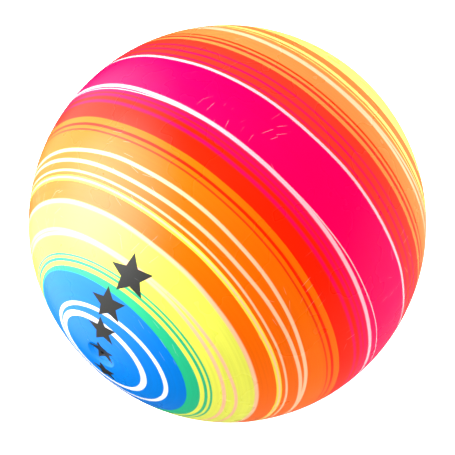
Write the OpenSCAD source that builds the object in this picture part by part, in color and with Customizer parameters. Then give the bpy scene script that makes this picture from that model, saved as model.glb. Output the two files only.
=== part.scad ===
// Inflatable vinyl ball with a self-sealing needle valve.
// The origin is the centre of the ball, and the valve looks along -Y.
// Every piece is turned about one axis. Its half section is drawn with the
// distance from that axis along x, and the way out of the valve along y.

/* [Ball] */
// Diameter of the blown-up ball round its middle
ball_d = 216; // [190:1:240]
// Thickness of the vinyl skin
wall = 1.2; // [0.8:0.1:2]
// How much the ball is flattened at the valve
valve_flat = 2; // [1.6:0.1:2.4]

/* [Valve seat] */
// Radius of the shallow dish that is pressed into the ball round the valve
dish_r = 32; // [28:1:40]
// Depth of that dish at its middle
dish_depth = 1.6; // [1.2:0.1:2]
// Radius of the dish's soft rim
rim_r = 2; // [1:0.1:3]
// Diameter of the thick boss inside the skin
boss_d = 24; // [20:0.5:28]
// Length of the boss, from the middle of the dish
boss_l = 12; // [11:0.5:15]

/* [Valve] */
// Diameter of the valve's head, which lies in the dish
head_d = 11; // [10.5:0.1:13]
// Depth over which the head tapers down to the neck
head_t = 1.6; // [1:0.1:2.5]
// Diameter of the valve's neck, and of the hole through the boss
neck_d = 9; // [8:0.1:10]
// Diameter of the barb that holds the valve in
barb_d = 12.6; // [11:0.1:14]
// Length of the barb
barb_l = 5; // [4:0.5:7]
// Diameter of the soft core inside the valve
core_d = 5.4; // [4.5:0.1:6]
// Length of the core
core_l = 12; // [10:0.5:12.5]
// Thickness of the valve's face over the core
face_t = 1.8; // [1.5:0.1:2.5]
// Diameter of the channel that an inflating needle slides into
needle_d = 2; // [1.8:0.1:2.4]
// Length of that channel in the core
needle_l = 7; // [5:0.5:9]

/* [Hidden] */

$fn = 180;
lap = 0.5; // how far a cut or a blend reaches past the face it meets
entry_gap = 0.2; // room round the needle in the valve's face

// The ball's outline is three arcs that run smoothly into each other: the
// ball itself, a tighter shoulder, and a flatter cap round the valve. The two
// headings where they meet are sides of a 3-4-5 and a 7-24-25 triangle, so
// the arcs meet at exact numbers.
ball_r = ball_d / 2;
ball_meet = [0.8, 0.6];              // where the ball's arc meets the shoulder
cap_meet = [0.28, 0.96];             // where the cap's arc meets the shoulder
shoulder_arm = 3.5 * valve_flat;     // from the ball's centre to the shoulder's
shoulder_at = shoulder_arm * ball_meet;
cap_arm = shoulder_at.x / cap_meet.x; // from the cap's centre to the shoulder's
cap_y = shoulder_at.y - cap_arm * cap_meet.y; // height of the cap's centre
shoulder_r = ball_r - shoulder_arm;
cap_r = shoulder_r + cap_arm;

top_y = ball_r - valve_flat;         // top of the cap, if it had no dish
floor_y = top_y - dish_depth;        // middle of the dish
dish_y = floor_y + dish_r;           // centre of the dish's arc
boss_y = floor_y - boss_l;           // inner end of the boss
neck_y = floor_y - head_t;           // where the head has tapered to the neck
barb_y = boss_y - barb_l;            // inner end of the barb
core_top_y = floor_y - face_t;       // outer end of the core
core_y = core_top_y - core_l;        // inner end of the core
boss_blend_r = 4;                    // radius where the boss meets the skin

// Where two circles about points on the axis cross, given their radii and
// their centres' heights.
function crossing(r1, y1, r2, y2) =
    let (y = (r1 * r1 - r2 * r2 + y2 * y2 - y1 * y1) / (2 * (y2 - y1)))
    [sqrt(r1 * r1 - pow(y - y1, 2)), y];

// The centre of a circle of radius r that stands x from the axis and touches
// the cap's arc from inside. The arc is moved in by inset.
function under_cap(x, r, inset) =
    [x, cap_y + sqrt(pow(cap_r - inset - r, 2) - x * x)];

// The heading from the cap's centre to a point.
function cap_heading(at) = (at - [0, cap_y]) / norm(at - [0, cap_y]);

// The part of a disc that lies between a list of headings from its centre.
module disc_sector(at, r, headings) {
    reach = 300;
    translate(at) intersection() {
        circle(r);
        polygon(concat([[0, 0]], reach * headings));
    }
}

// The half section of the solid ball, with every face moved in by inset.
module ball_section(inset) {
    disc_sector([0, cap_y], cap_r - inset, [[0, 1], cap_meet]);
    disc_sector(shoulder_at, shoulder_r - inset, [cap_meet, ball_meet]);
    disc_sector([0, 0], ball_r - inset, [ball_meet, [1, -1], [0, -1]]);
}

// The half section of a round bar between two heights.
module bar_section(r, low, high) {
    translate([0, low]) square([r, high - low]);
}

// The corner between the boss and the skin, outside the circle that rounds it.
module boss_blend() {
    at = under_cap(boss_d / 2 + boss_blend_r, boss_blend_r, wall);
    reach = boss_blend_r + lap;
    translate(at) difference() {
        polygon([
            [0, 0],
            [-reach, 0],
            [-reach, 1.3 * reach],
            reach * cap_heading(at),
        ]);
        circle(boss_blend_r);
    }
}

// The corner between the dish and the cap, outside the circle that rounds it.
module rim_cut() {
    at = crossing(cap_r - rim_r, cap_y, dish_r + rim_r, dish_y);
    to_dish = ([0, dish_y] - at) / (dish_r + rim_r);
    to_cap = cap_heading(at);
    reach = rim_r + lap;
    translate(at) difference() {
        polygon([[0, 0], reach * to_dish, reach * to_cap]);
        circle(rim_r);
    }
}

// The shallow dish round the valve, as it is cut into the ball.
module dish_section() {
    translate([0, dish_y]) circle(dish_r);
}

// The valve's tapered head and its neck, and the hole that they fill.
module neck_section() {
    polygon([
        [0, boss_y],
        [neck_d / 2, boss_y],
        [neck_d / 2, neck_y],
        [head_d / 2, floor_y],
        [head_d / 2, ball_r],
        [0, ball_r],
    ]);
}

// The half section of the room inside the skin, round the boss.
module room_section() {
    difference() {
        ball_section(wall);
        bar_section(boss_d / 2, boss_y, ball_r);
        boss_blend();
    }
}

// Turns a half section about the valve's axis, and points the valve along -Y.
module turned() {
    rotate([90, 0, 0]) rotate_extrude() children();
}

// The moulded skin, with the valve's dish outside and its boss inside.
module shell() {
    color("orangered") turned() difference() {
        ball_section(0);
        room_section();
        dish_section();
        rim_cut();
        neck_section();
    }
}

// The rubber housing: a head in the dish, a neck through the boss, and a barb.
module valve_body() {
    color("dodgerblue") turned() difference() {
        union() {
            neck_section();
            polygon([
                [0, barb_y],
                [neck_d / 2, barb_y],
                [barb_d / 2, boss_y - barb_l / 3],
                [barb_d / 2, boss_y],
                [0, boss_y],
            ]);
        }
        dish_section();
        bar_section(core_d / 2, barb_y - lap, core_top_y);
        bar_section(needle_d / 2 + entry_gap, core_top_y - lap, floor_y + lap);
    }
}

// The soft core that closes round the needle's channel.
module valve_core() {
    color("darkslategray") turned() difference() {
        bar_section(core_d / 2, core_y, core_top_y);
        bar_section(needle_d / 2, core_top_y - needle_l, core_top_y + lap);
    }
}

shell();
valve_body();
valve_core();
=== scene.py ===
import math

import bmesh
import bpy
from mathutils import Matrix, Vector, noise


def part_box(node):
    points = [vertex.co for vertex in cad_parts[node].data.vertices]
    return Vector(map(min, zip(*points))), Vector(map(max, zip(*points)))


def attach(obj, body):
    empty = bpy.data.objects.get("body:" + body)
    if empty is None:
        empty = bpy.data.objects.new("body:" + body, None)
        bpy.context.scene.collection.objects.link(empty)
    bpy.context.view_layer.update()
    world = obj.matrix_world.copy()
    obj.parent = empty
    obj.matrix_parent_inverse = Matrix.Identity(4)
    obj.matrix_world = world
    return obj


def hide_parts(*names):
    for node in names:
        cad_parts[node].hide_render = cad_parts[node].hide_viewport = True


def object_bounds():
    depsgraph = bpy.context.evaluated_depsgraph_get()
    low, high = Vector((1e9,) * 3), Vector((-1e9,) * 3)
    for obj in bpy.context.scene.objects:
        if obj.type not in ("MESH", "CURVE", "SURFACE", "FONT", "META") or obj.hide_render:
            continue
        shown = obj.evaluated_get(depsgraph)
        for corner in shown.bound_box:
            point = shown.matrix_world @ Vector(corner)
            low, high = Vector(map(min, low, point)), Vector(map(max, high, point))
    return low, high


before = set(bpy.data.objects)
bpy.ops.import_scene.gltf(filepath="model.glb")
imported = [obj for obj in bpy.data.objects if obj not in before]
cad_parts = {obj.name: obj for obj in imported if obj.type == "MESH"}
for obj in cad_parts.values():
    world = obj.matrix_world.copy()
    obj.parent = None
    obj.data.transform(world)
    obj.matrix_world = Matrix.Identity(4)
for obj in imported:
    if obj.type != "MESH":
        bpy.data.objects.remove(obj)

# An inflatable vinyl ball, spin-painted in rainbow bands. Lengths are in metres, in the CAD's frame:
# the origin is the ball's centre, the valve looks along -Y, and +Z is up.

CAD_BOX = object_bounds()
BODY = "root"
MM = 0.001


# ---------------------------------------------------------------- camera

CAMERA_AZIMUTH = math.radians(38.4)
CAMERA_ELEVATION = math.radians(55.0)
CAMERA_DISTANCE = 0.950
CAMERA_LENS = 137.7  # mm, on a sensor 36 mm wide
CAMERA_SHIFT_Y = -0.0081  # sets the ball a little above the picture's middle


def make_camera():
    """The camera looks down at the ball's centre, from the side that the valve is on."""
    back = Vector((
        math.sin(CAMERA_AZIMUTH) * math.cos(CAMERA_ELEVATION),
        -math.cos(CAMERA_AZIMUTH) * math.cos(CAMERA_ELEVATION),
        math.sin(CAMERA_ELEVATION),
    ))
    data = bpy.data.cameras.new("camera")
    data.sensor_width = 36.0
    data.lens = CAMERA_LENS
    data.shift_y = CAMERA_SHIFT_Y
    camera = bpy.data.objects.new("camera", data)
    camera.location = back * CAMERA_DISTANCE
    camera.rotation_mode = "QUATERNION"
    camera.rotation_quaternion = (-back).to_track_quat("-Z", "Y")
    bpy.context.collection.objects.link(camera)
    bpy.context.scene.camera = camera


# ---------------------------------------------------------------- the ball's section

# The half section is drawn as in the CAD: (distance from the valve's axis, way out of the valve).
# Its outline is three arcs: the ball, a tighter shoulder, and a flatter cap round the valve.
BALL_R = (CAD_BOX[1].x - CAD_BOX[0].x) / 2
BALL_MEET = Vector((0.8, 0.6))  # heading where the ball's arc meets the shoulder
CAP_MEET = Vector((0.28, 0.96))  # heading where the cap's arc meets the shoulder
SHOULDER_ARM = 7 * MM  # from the ball's centre to the shoulder's
SHOULDER_AT = SHOULDER_ARM * BALL_MEET
CAP_ARM = SHOULDER_AT.x / CAP_MEET.x
CAP_AT = Vector((0, SHOULDER_AT.y - CAP_ARM * CAP_MEET.y))
SHOULDER_R = BALL_R - SHOULDER_ARM
CAP_R = SHOULDER_R + CAP_ARM

# The dish round the valve, and the valve in it.
DISH_R = 32 * MM
DISH_DEPTH = 1.6 * MM
RIM_R = 2 * MM
HEAD_R = 5.5 * MM
HEAD_T = 1.6 * MM
NECK_R = 4.5 * MM
BOSS_L = 12 * MM
BARB_R = 6.3 * MM
ENTRY_R = 1.2 * MM  # the needle's hole in the valve's face
TOP_Y = CAP_AT.y + CAP_R
FLOOR_Y = TOP_Y - DISH_DEPTH
DISH_AT = Vector((0, FLOOR_Y + DISH_R))
NECK_Y = FLOOR_Y - HEAD_T
BOSS_Y = FLOOR_Y - BOSS_L
BARB_Y = -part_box("valve_body")[1].y
CORE_LOW, CORE_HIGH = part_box("valve_core")
CORE_R = (CORE_HIGH.x - CORE_LOW.x) / 2
CORE_TOP_Y = -CORE_LOW.y

BALL_SIDES = 240
VALVE_SIDES = 96
SHARP_EDGE = math.radians(35)  # an edge that turns by more than this stays sharp


def arc(centre, radius, start, end, steps):
    """Points of an arc, between two angles in degrees from the way out of the valve."""
    turns = [math.radians(start + (end - start) * i / steps) for i in range(steps + 1)]
    return [
        Vector((centre[0] + radius * math.sin(t), centre[1] + radius * math.cos(t)))
        for t in turns
    ]


def heading(way):
    """The angle of a 2D direction, in degrees from the way out of the valve."""
    return math.degrees(math.atan2(way.x, way.y))


def dish_turn(off_axis):
    """The angle on the dish's arc of the point that stands off the axis by that much, in degrees."""
    return 180 - math.degrees(math.asin(off_axis / DISH_R))


def ball_section():
    """The outside of the ball from its far pole to the valve's dish, then the pocket that the
    valve fills."""
    r_cap = CAP_R - RIM_R
    r_dish = DISH_R + RIM_R
    rise = DISH_AT.y - CAP_AT.y
    rim_y = CAP_AT.y + (r_cap**2 - r_dish**2 + rise**2) / (2 * rise)
    rim_at = Vector((math.sqrt(r_cap**2 - (rim_y - CAP_AT.y) ** 2), rim_y))
    rim_in = DISH_AT - rim_at
    rim_out = rim_at - CAP_AT
    touch = rim_at + rim_in.normalized() * RIM_R
    room = 0.3 * MM  # left round the barb
    points = arc((0, 0), BALL_R, 180, heading(BALL_MEET), steps=120)
    points += arc(SHOULDER_AT, SHOULDER_R, heading(BALL_MEET), heading(CAP_MEET), steps=36)[1:]
    points += arc(CAP_AT, CAP_R, heading(CAP_MEET), heading(rim_out), steps=20)[1:]
    points += arc(rim_at, RIM_R, heading(rim_out), heading(rim_in), steps=10)[1:]
    points += arc(DISH_AT, DISH_R, dish_turn(touch.x), dish_turn(HEAD_R), steps=8)[1:]
    points += [
        Vector((HEAD_R, FLOOR_Y)),
        Vector((NECK_R, NECK_Y)),
        Vector((NECK_R, BOSS_Y)),
        Vector((BARB_R + room, BOSS_Y)),
        Vector((BARB_R + room, BARB_Y - room)),
        Vector((0, BARB_Y - room)),
    ]
    return points


def valve_section():
    """The valve's housing: a dished head, the neck and the barb, round the core's pocket."""
    seam = 0.05 * MM  # between the head and the ball
    lip = 0.2 * MM  # radius of the soft edges of the face
    barb_band = 1.7 * MM  # length of the barb's full width
    edge_r = HEAD_R - seam - lip
    entry_r = ENTRY_R + lip
    edge_y = DISH_AT.y - math.sqrt((DISH_R + lip) ** 2 - edge_r**2)
    entry_y = DISH_AT.y - math.sqrt((DISH_R + lip) ** 2 - entry_r**2)
    return (
        [Vector((CORE_R, BARB_Y)), Vector((CORE_R, CORE_TOP_Y)), Vector((ENTRY_R, CORE_TOP_Y))]
        + arc((entry_r, entry_y), lip, -90, 0, steps=5)
        + arc(DISH_AT, DISH_R, dish_turn(entry_r), dish_turn(edge_r), steps=12)[1:-1]
        + arc((edge_r, edge_y), lip, 0, 90, steps=5)
        + [
            Vector((HEAD_R - seam, FLOOR_Y)),
            Vector((NECK_R, NECK_Y)),
            Vector((NECK_R, BOSS_Y)),
            Vector((BARB_R, BOSS_Y)),
            Vector((BARB_R, BOSS_Y - barb_band)),
            Vector((NECK_R, BARB_Y)),
        ]
    )


# ---------------------------------------------------------------- meshes


def lathe(name, section, sides, closed=False):
    """Turns a half section about the valve's axis. A point on the axis becomes one vertex, and a
    closed section goes round back to its first point."""
    on_axis = 1e-7
    bm = bmesh.new()
    turns = [math.tau * i / sides for i in range(sides)]
    rings = []
    for p in section:
        if p.x < on_axis:
            rings.append([bm.verts.new((0, -p.y, 0))] * sides)
            continue
        rings.append([bm.verts.new((p.x * math.cos(t), -p.y, p.x * math.sin(t))) for t in turns])
    pairs = list(zip(rings, rings[1:]))
    if closed:
        pairs.append((rings[-1], rings[0]))
    for low, high in pairs:
        for i in range(sides):
            j = (i + 1) % sides
            corners = [low[i], low[j], high[j], high[i]]
            corners = [v for k, v in enumerate(corners) if v not in corners[:k]]
            bm.faces.new(corners)
    bmesh.ops.recalc_face_normals(bm, faces=bm.faces)
    mesh = bpy.data.meshes.new(name)
    bm.to_mesh(mesh)
    bm.free()
    mesh.shade_smooth()
    mesh.set_sharp_from_angle(angle=SHARP_EDGE)
    piece = bpy.data.objects.new(name, mesh)
    bpy.context.collection.objects.link(piece)
    return piece


def undulate(piece, depth, grain, clear_r):
    """Gives moulded vinyl its faint waviness, in and out by at most depth. A higher grain has more
    waves. They fade out towards the valve, and stop at clear_r from its axis."""
    for v in piece.data.vertices:
        off_axis = math.hypot(v.co.x, v.co.z)
        at_valve = v.co.y < 0
        fade = min(max((off_axis - clear_r) / clear_r, 0), 1) if at_valve else 1
        out = v.co.normalized()
        v.co += out * depth * fade * noise.noise(out * grain)


# ---------------------------------------------------------------- shader helpers


def srgb(red, green, blue):
    """A colour given as 0 to 255 on screen, as the shader's linear RGBA."""
    def linear(c):
        c /= 255
        return c / 12.92 if c <= 0.04045 else ((c + 0.055) / 1.055) ** 2.4
    return (linear(red), linear(green), linear(blue), 1.0)


class Nodes:
    """Adds nodes to a tree. A method that adds one returns the socket that other nodes use."""

    def __init__(self, tree):
        self.tree = tree

    def feed(self, socket, value):
        """Links a socket to an input, or sets the input to a plain value."""
        if isinstance(value, bpy.types.NodeSocket):
            self.tree.links.new(value, socket)
        else:
            socket.default_value = value

    def add(self, kind, inputs=(), output=0, **settings):
        """A node. inputs is a dict or list of values and sockets."""
        made = self.tree.nodes.new(kind)
        for key, value in settings.items():
            setattr(made, key, value)
        pairs = inputs.items() if isinstance(inputs, dict) else enumerate(inputs)
        for key, value in pairs:
            self.feed(made.inputs[key], value)
        return made.outputs[output]

    def math(self, operation, *values):
        """A number worked out from numbers."""
        return self.add("ShaderNodeMath", values, operation=operation)

    def vector(self, operation, *values):
        """A vector worked out from vectors."""
        return self.add("ShaderNodeVectorMath", values, operation=operation)

    def dot(self, a, b):
        """The dot product of two vectors."""
        return self.add("ShaderNodeVectorMath", [a, b], "Value", operation="DOT_PRODUCT")

    def length(self, vector):
        """The length of a vector."""
        return self.add("ShaderNodeVectorMath", [vector], "Value", operation="LENGTH")

    def ramp(self, value, low, high, to_low=0.0, to_high=1.0):
        """value from low to high becomes to_low to to_high, eased at both ends."""
        return self.add(
            "ShaderNodeMapRange", [value, low, high, to_low, to_high], interpolation_type="SMOOTHSTEP"
        )

    def noise(self, vector, scale, detail=2.0, roughness=0.5):
        """Soft noise between 0 and 1."""
        inputs = {"Vector": vector, "Scale": scale, "Detail": detail, "Roughness": roughness}
        return self.add("ShaderNodeTexNoise", inputs)

    def over(self, under, colour, mask):
        """colour painted over under where mask is 1."""
        made = self.tree.nodes.new("ShaderNodeMix")
        made.data_type = "RGBA"
        sockets = {s.identifier: s for s in made.inputs}
        self.feed(sockets["Factor_Float"], mask)
        self.feed(sockets["A_Color"], under)
        self.feed(sockets["B_Color"], colour)
        return next(s for s in made.outputs if s.identifier == "Result_Color")


class Shader(Nodes):
    """One material's nodes, and its surface."""

    def __init__(self, name):
        self.material = bpy.data.materials.new(name)
        self.material.use_nodes = True
        super().__init__(self.material.node_tree)
        self.surface = self.tree.nodes["Principled BSDF"]

    def set(self, **values):
        """Sets the surface's own sockets, or links nodes to them."""
        for key, value in values.items():
            self.feed(self.surface.inputs[key.replace("_", " ")], value)

    def place(self):
        """The place on the ball, in metres from its centre."""
        return self.add("ShaderNodeTexCoord", output="Object")

    def bump(self, height, strength, depth):
        """A normal that follows a height, which goes up to depth in metres."""
        inputs = {"Strength": strength, "Distance": depth, "Height": height}
        return self.add("ShaderNodeBump", inputs)


# ---------------------------------------------------------------- paint

# Where the painted rings' turns are counted from, round the valve's axis.
TURN_0 = Vector((0.917, 0, -0.399))
TURN_90 = Vector((0.399, 0, 0.917))
VALVE_WAY = Vector((0, -1, 0))

BLUE = srgb(2, 114, 204)
GREEN = srgb(36, 178, 126)
YELLOW = srgb(230, 231, 85)
PALE_YELLOW = srgb(242, 240, 124)
GOLD = srgb(246, 214, 66)
ORANGE = srgb(248, 103, 4)
PALE_ORANGE = srgb(247, 128, 63)
RED = srgb(246, 31, 3)
PALE_RED = srgb(247, 49, 33)
BRICK = srgb(240, 48, 12)
MAGENTA = srgb(247, 6, 82)
PINK = srgb(247, 0, 81)
WHITE = srgb(235, 235, 238)
PEACH = srgb(248, 192, 150)
BLUSH = srgb(250, 180, 188)
INK = srgb(30, 30, 28)
SHADE = srgb(40, 0, 10)  # what shows through where the brush left thin paint
BARE_RUBBER = srgb(38, 40, 44)
CORE_BLACK = srgb(30, 31, 34)
CHALK = srgb(96, 98, 102)

# Each ring is a circle about an axis of its own, as the brush didn't run true. A family of rings
# shares one axis: (how far it leans from the valve's, towards which turn), both in degrees.
FAMILIES = {
    "true": (0.0, 0),
    "ring": (2.2, 28),
    "green": (1.5, 25),
    "peach": (1.8, -50),
    "upper": (0.8, -35),
    "lower": (2.4, 97),
    "hair": (2.4, -25),
    "far": (3.7, 60),
    "stray": (3.0, 10),
}

WOBBLE = 0.9  # degrees by which a ring may stray from its circle, from side to side
SHARP = 0.14  # degrees over which a clean edge fades
SOFT = 0.7  # degrees over which a blurred edge fades

# (family, from, to, colour, softness of the edges). Angles are in degrees from the valve, and each
# row is painted over the ones before it.
RINGS = [
    # the far side, from its pole back to the middle
    ("far", 126.8, 180, PALE_YELLOW, SHARP),
    ("far", 143.0, 143.9, PEACH, 0.4),
    ("far", 146.5, 180, GREEN, SHARP),
    ("far", 147.2, 148.0, PALE_YELLOW, SHARP),
    ("true", 152.5, 181, BLUE, SHARP),
    ("ring", 160.0, 161.3, WHITE, SHARP),
    ("true", 164.8, 166.6, WHITE, SHARP),
    ("far", 114.0, 126.8, PALE_ORANGE, SHARP),
    ("far", 120.8, 122.6, PALE_YELLOW, SHARP),
    ("far", 119.2, 119.6, PALE_YELLOW, SHARP),
    ("far", 104.7, 114.6, PALE_ORANGE, SHARP),
    ("far", 108.3, 109.1, BRICK, 0.3),
    ("far", 90.0, 104.7, PALE_RED, SHARP),
    ("far", 104.8, 106.1, PALE_ORANGE, 0.2),
    ("far", 106.1, 107.2, PALE_RED, 0.2),
    ("far", 114.8, 116.2, PEACH, 0.3),
    ("stray", 118.8, 119.8, PEACH, 0.3),
    ("far", 95.4, 96.0, MAGENTA, SOFT),
    ("far", 98.0, 98.7, MAGENTA, SOFT),
    ("far", 100.6, 101.2, MAGENTA, SOFT),
    # the near side, from the middle to the valve
    ("far", 70.0, 93.8, PINK, 0.3),
    ("far", 93.8, 94.7, BLUSH, 0.3),
    ("true", 66.0, 81.4, RED, SHARP),
    ("true", 75.4, 76.3, MAGENTA, SOFT),
    ("true", 77.6, 78.6, MAGENTA, SOFT),
    ("true", 79.1, 80.1, MAGENTA, SOFT),
    ("true", 80.4, 81.4, MAGENTA, SOFT),
    ("true", 80.9, 82.0, BLUSH, 0.4),
    ("hair", 82.6, 82.9, BLUSH, 0.2),
    ("true", 46.0, 70.5, ORANGE, 0.3),
    ("true", 68.9, 70.5, ORANGE, 0.2),
    ("true", 67.9, 68.7, RED, 0.2),
    ("true", 66.4, 66.9, BRICK, 0.2),
    ("upper", 57.8, 58.8, PEACH, 0.3),
    ("lower", 58.8, 59.8, PEACH, 0.3),
    ("true", 54.4, 55.0, PEACH, 0.3),
    ("true", 51.9, 53.4, GOLD, 0.2),
    ("true", 52.5, 53.0, PEACH, 0.3),
    ("true", 31.0, 46.4, YELLOW, SHARP),
    ("true", 45.8, 46.9, PEACH, 0.6),
    ("true", 37.0, 38.0, PEACH, 0.4),
    ("peach", 39.6, 40.5, PEACH, 0.4),
    ("green", 20.0, 32.95, GREEN, SHARP),
    ("green", 31.6, 32.35, YELLOW, 0.2),
    ("green", 29.5, 30.75, YELLOW, 0.2),
    ("true", -1.0, 27.1, BLUE, SHARP),
    ("ring", 18.35, 19.65, WHITE, SHARP),
    ("true", 13.6, 15.4, WHITE, SHARP),
]


def turn_way(turn):
    """The direction square to the valve's axis at a turn in degrees."""
    t = math.radians(turn)
    return math.cos(t) * TURN_0 + math.sin(t) * TURN_90


def family_angle(shader, place, family):
    """The angle in degrees between a place on the ball and a family's axis, with a wobble of the
    family's own."""
    lean, turn = FAMILIES[family]
    tilt = math.radians(lean)
    axis = math.cos(tilt) * VALVE_WAY + math.sin(tilt) * turn_way(turn)
    way = shader.vector("NORMALIZE", place)
    angle = shader.math("DEGREES", shader.math("ARCCOSINE", shader.dot(way, axis)))
    moved = shader.vector("ADD", way, Vector((list(FAMILIES).index(family), 0, 0)))
    stray = shader.math("SUBTRACT", shader.noise(moved, 2.2, 1.0), 0.5)
    return shader.math("MULTIPLY_ADD", stray, WOBBLE, angle)


def painted_rings(shader, angles):
    """The colour of the rings, painted one over another."""
    colour = YELLOW
    for family, start, end, paint, soft in RINGS:
        middle = (start + end) / 2
        half = (end - start) / 2
        off = shader.math("ABSOLUTE", shader.math("SUBTRACT", angles[family], middle))
        mask = shader.ramp(off, half - soft / 2, half + soft / 2, 1.0, 0.0)
        colour = shader.over(colour, paint, mask)
    return colour


# The print is a row of plain five-pointed stars. Each is placed by its angle from the valve and its
# turn round it, in degrees, with its size in metres from centre to tip.
STARS = [
    (35.2, 105.3, 12.5 * MM),
    (22.8, 111.0, 11.0 * MM),
    (12.2, 111.0, 9.5 * MM),
    (1.6, 100.0, 9.0 * MM),
    (9.2, -64.0, 8.5 * MM),
]
STAR_TURN = 20  # degrees by which each star is turned
STAR_NOTCH = 0.46  # radius of the notches between the tips, as a share of the tips'
STAR_EDGE = 0.1 * MM  # half the width over which the ink's edge fades


def star_mask(shader, place, angle, turn, size):
    """1 inside a five-pointed star that is printed on the ball, 0 outside."""
    a = math.radians(angle)
    out = math.cos(a) * VALVE_WAY + math.sin(a) * turn_way(turn)
    across = out.cross(TURN_90).normalized()
    along = across.cross(out)
    right = shader.dot(place, across)
    up = shader.dot(place, along)
    outward = shader.dot(place, out)
    radius = shader.length(shader.add("ShaderNodeCombineXYZ", [right, up, 0.0]))
    bearing = shader.math("ADD", shader.math("ARCTAN2", up, right), math.radians(STAR_TURN))
    fifth = math.tau / 5
    fold = shader.math("ABSOLUTE", shader.math("WRAP", bearing, fifth / 2, -fifth / 2))
    x = shader.math("MULTIPLY", radius, shader.math("COSINE", fold))
    y = shader.math("MULTIPLY", radius, shader.math("SINE", fold))
    tip = Vector((size, 0))
    notch = STAR_NOTCH * size * Vector((math.cos(fifth / 2), math.sin(fifth / 2)))
    side = (notch - tip).normalized()
    normal = Vector((side.y, -side.x))
    beyond = shader.math("MULTIPLY_ADD", x, normal.x, shader.math("MULTIPLY", y, normal.y))
    edge = tip.dot(normal)
    inside = shader.ramp(beyond, edge - STAR_EDGE, edge + STAR_EDGE, 1.0, 0.0)
    return shader.math("MULTIPLY", inside, shader.math("GREATER_THAN", outward, 0.0))


def print_mask(shader, place):
    """1 where the row of stars is printed."""
    mask = 0.0
    for angle, turn, size in STARS:
        star = star_mask(shader, place, angle, turn, size)
        mask = shader.math("MAXIMUM", star, mask)
    return mask


# ---------------------------------------------------------------- materials

PLASTIC_IOR = 1.5  # of the vinyl, its paint and the rubber alike


def brush_streaks(shader, place, angle):
    """Noise that is fine across the rings and runs long along them, as a brush leaves it."""
    along = 9.0  # a metre along the rings counts as this many degrees across them
    x = shader.add("ShaderNodeSeparateXYZ", [place], output="X")
    z = shader.add("ShaderNodeSeparateXYZ", [place], output="Z")
    stretched = [shader.math("MULTIPLY", x, along), shader.math("MULTIPLY", z, along)]
    rolled = shader.add("ShaderNodeCombineXYZ", [angle, *stretched])
    return shader.noise(rolled, 1.3, 4.0, 0.6)


def brushed(shader, colour, streaks):
    """The colour, a little darker where the brush left thin paint."""
    thin = shader.ramp(streaks, 0.35, 0.65, 0.08, 0.0)
    return shader.over(colour, SHADE, thin)


def hair_scratches(shader, place):
    """Short scratches, thin as a hair. Each cell of a scatter has one at most, and neighbours run
    nearly the same way."""
    own = 0.06  # how much of a scratch's direction isn't its neighbours'
    middling = 0.5 + own / 2
    shade = shader.add("ShaderNodeTexVoronoi", {"Vector": place, "Scale": 130.0}, output="Color")
    middle = shade.node.outputs["Position"]
    drift = shader.add("ShaderNodeTexNoise", {"Vector": middle, "Scale": 9.0}, output="Color")
    tilt = shader.vector("MULTIPLY_ADD", shade, (own, own, own), drift)
    tilt = shader.vector("SUBTRACT", tilt, (middling, middling, middling))
    across = shader.vector("NORMALIZE", shader.vector("CROSS_PRODUCT", middle, tilt))
    away = shader.vector("SUBTRACT", place, middle)
    off_line = shader.math("ABSOLUTE", shader.dot(away, across))
    line = shader.ramp(off_line, 0.06 * MM, 0.16 * MM, 1.0, 0.0)
    ends = shader.ramp(shader.length(away), 2.5 * MM, 3.8 * MM, 1.0, 0.0)
    patches = shader.ramp(shader.noise(place, 22.0, 1.0), 0.58, 0.64)
    return shader.math("MULTIPLY", shader.math("MULTIPLY", line, ends), patches)


def painted_vinyl(name):
    """Glossy vinyl with the spin-painted rings, the brush's fine streaks, the print, and
    scratches."""
    shader = Shader(name)
    place = shader.place()
    angles = {family: family_angle(shader, place, family) for family in FAMILIES}
    streaks = brush_streaks(shader, place, angles["true"])
    ink = print_mask(shader, place)
    scratches = hair_scratches(shader, place)

    colour = brushed(shader, painted_rings(shader, angles), streaks)
    colour = shader.over(colour, INK, ink)
    colour = shader.over(colour, WHITE, shader.math("MULTIPLY", scratches, 0.22))

    smudges = shader.noise(place, 24.0, 3.0)
    roughness = shader.ramp(smudges, 0.3, 0.7, 0.24, 0.34)
    roughness = shader.math("MULTIPLY_ADD", ink, 0.10, roughness)
    roughness = shader.math("MULTIPLY_ADD", scratches, 0.2, roughness)

    grain = shader.noise(place, 900.0, 3.0)
    height = shader.math("MULTIPLY_ADD", streaks, 0.5, shader.math("MULTIPLY", grain, 0.1))
    height = shader.math("MULTIPLY_ADD", ink, 0.4, height)
    height = shader.math("MULTIPLY_ADD", scratches, -0.4, height)
    bump = shader.bump(height, 0.3, 0.02 * MM)
    shader.set(Base_Color=colour, Roughness=roughness, Normal=bump, IOR=PLASTIC_IOR)
    return shader.material


def valve_rubber(name):
    """The valve's face: the ball's blue paint and print, worn to bare rubber round the needle's
    hole."""
    shader = Shader(name)
    place = shader.place()
    streaks = brush_streaks(shader, place, family_angle(shader, place, "true"))
    speckle = shader.noise(place, 700.0, 4.0)
    colour = brushed(shader, BLUE, streaks)
    colour = shader.over(colour, INK, print_mask(shader, place))
    off_axis = shader.length(shader.vector("MULTIPLY", place, Vector((1, 0, 1))))
    ragged = shader.math("MULTIPLY_ADD", speckle, 0.8 * MM, off_axis)
    worn = shader.ramp(ragged, ENTRY_R + 0.4 * MM, ENTRY_R + 0.8 * MM, 1.0, 0.0)
    colour = shader.over(colour, BARE_RUBBER, worn)
    roughness = shader.ramp(speckle, 0.3, 0.7, 0.3, 0.42)
    bump = shader.bump(speckle, 0.3, 0.04 * MM)
    shader.set(Base_Color=colour, Roughness=roughness, Normal=bump, IOR=PLASTIC_IOR)
    return shader.material


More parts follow.
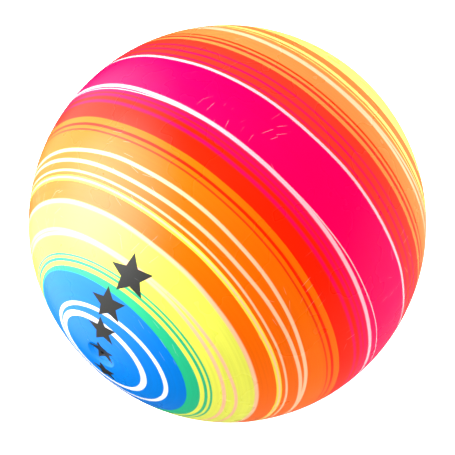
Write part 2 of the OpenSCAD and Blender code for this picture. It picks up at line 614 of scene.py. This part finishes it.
def core_rubber(name):
    """Dull dark rubber, dusty with chalk from the mould."""
    shader = Shader(name)
    dust = shader.noise(shader.place(), 900.0, 5.0, 0.65)
    colour = shader.over(CORE_BLACK, CHALK, shader.ramp(dust, 0.5, 0.75, 0.0, 0.6))
    roughness = shader.ramp(dust, 0.3, 0.7, 0.65, 0.9)
    bump = shader.bump(dust, 0.6, 0.05 * MM)
    shader.set(Base_Color=colour, Roughness=roughness, Normal=bump, IOR=PLASTIC_IOR)
    return shader.material


# ---------------------------------------------------------------- pieces


def make_ball():
    """The painted skin, which stands for the CAD's shell."""
    ball = lathe("ball_skin", ball_section(), BALL_SIDES)
    undulate(ball, depth=0.12 * MM, grain=3.2, clear_r=16 * MM)
    ball.data.materials.append(painted_vinyl("painted_vinyl"))
    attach(ball, BODY)
    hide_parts("shell")


def make_valve():
    """The valve's housing, which stands for the CAD's, and the finish of the CAD's core."""
    valve = lathe("valve_housing", valve_section(), VALVE_SIDES, closed=True)
    valve.data.materials.append(valve_rubber("valve_rubber"))
    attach(valve, BODY)
    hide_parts("valve_body")
    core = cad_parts["valve_core"]
    material = core_rubber("core_rubber")
    for slot in core.material_slots:
        slot.material = material


# ---------------------------------------------------------------- floor and light

FLOOR_HALF = 6.0
LIGHT_DISTANCE = 1.6
LIGHT_CORE = 0.14  # share of a light's half size that has its full brightness

# (name, which way it stands from the ball, half its size, brightness, whether the gloss shows it).
# Those that the gloss doesn't show stand for light that comes from all round the studio.
SOFTBOXES = [
    ("window", (-0.72, -0.60, 0.36), 1.5, 5.3, True),
    ("left_wall", (-0.85, -0.52, 0.0), 3.4, 1.4, True),
    ("left_top", (-0.75, -0.35, 0.56), 2.6, 5.2, False),
    ("right_wall", (0.55, 0.4, -0.73), 3.4, 0.22, True),
    ("right_fill", (0.75, 0.6, -0.2), 3.2, 4.0, False),
    ("back_fill", (-0.1, 0.9, 0.35), 2.6, 1.2, False),
    ("floor_fill", (0.2, -0.4, -0.9), 2.6, 1.8, False),
]


def make_floor():
    """A white light table under the ball. It shines for the camera only, so it puts no tint and no
    shadow on the ball."""
    mesh = bpy.data.meshes.new("floor")
    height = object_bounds()[0].z
    bm = bmesh.new()
    signs = [(-1, -1), (1, -1), (1, 1), (-1, 1)]
    bm.faces.new([bm.verts.new((x * FLOOR_HALF, y * FLOOR_HALF, height)) for x, y in signs])
    bm.to_mesh(mesh)
    bm.free()
    floor = bpy.data.objects.new("floor", mesh)
    bpy.context.collection.objects.link(floor)
    shader = Shader("floor_paper")
    shader.set(
        Base_Color=srgb(246, 246, 246),
        Roughness=0.9,
        Emission_Color=srgb(255, 255, 255),
        Emission_Strength=1.0,
    )
    mesh.materials.append(shader.material)
    floor.visible_diffuse = False
    floor.visible_glossy = False
    floor.visible_shadow = False


def add_softbox(name, way, half_size, glow, mirrored):
    """A square soft light that faces the ball from one side. Its brightness fades from glow in the
    middle to nothing at the edge, and mirrored says if the ball's gloss shows it. A light that it
    doesn't show has no multiple importance sampling, which would let the gloss show it still."""
    data = bpy.data.lights.new(name, "AREA")
    data.shape = "SQUARE"
    data.size = 2 * half_size
    data.energy = glow * math.pi * data.size**2
    data.use_nodes = True
    nodes = Nodes(data.node_tree)
    across = nodes.add("ShaderNodeNewGeometry", output="Parametric")
    from_middle = nodes.vector("MULTIPLY_ADD", across, (2.0, 2.0, 0.0), (-1.0, -1.0, 0.0))
    fade = nodes.ramp(nodes.length(from_middle), LIGHT_CORE, 1.0, 1.0, 0.0)
    nodes.feed(data.node_tree.nodes["Emission"].inputs["Strength"], fade)
    light = bpy.data.objects.new(name, data)
    away = Vector(way).normalized()
    light.location = away * LIGHT_DISTANCE
    light.rotation_mode = "QUATERNION"
    light.rotation_quaternion = (-away).to_track_quat("-Z", "Y")
    light.visible_camera = False
    light.visible_glossy = mirrored
    data.cycles.use_multiple_importance_sampling = mirrored
    bpy.context.collection.objects.link(light)


def make_light():
    """The soft lights, in a world that is white for the camera and dark for the ball."""
    world = bpy.data.worlds.new("studio")
    world.use_nodes = True
    background = world.node_tree.nodes["Background"]
    background.inputs["Color"].default_value = (1.0, 1.0, 1.0, 1.0)
    world.cycles_visibility.diffuse = False
    world.cycles_visibility.glossy = False
    bpy.context.scene.world = world
    for softbox in SOFTBOXES:
        add_softbox(*softbox)
    bpy.context.scene.view_settings.view_transform = "Standard"


make_camera()
make_ball()
make_valve()
make_floor()
make_light()
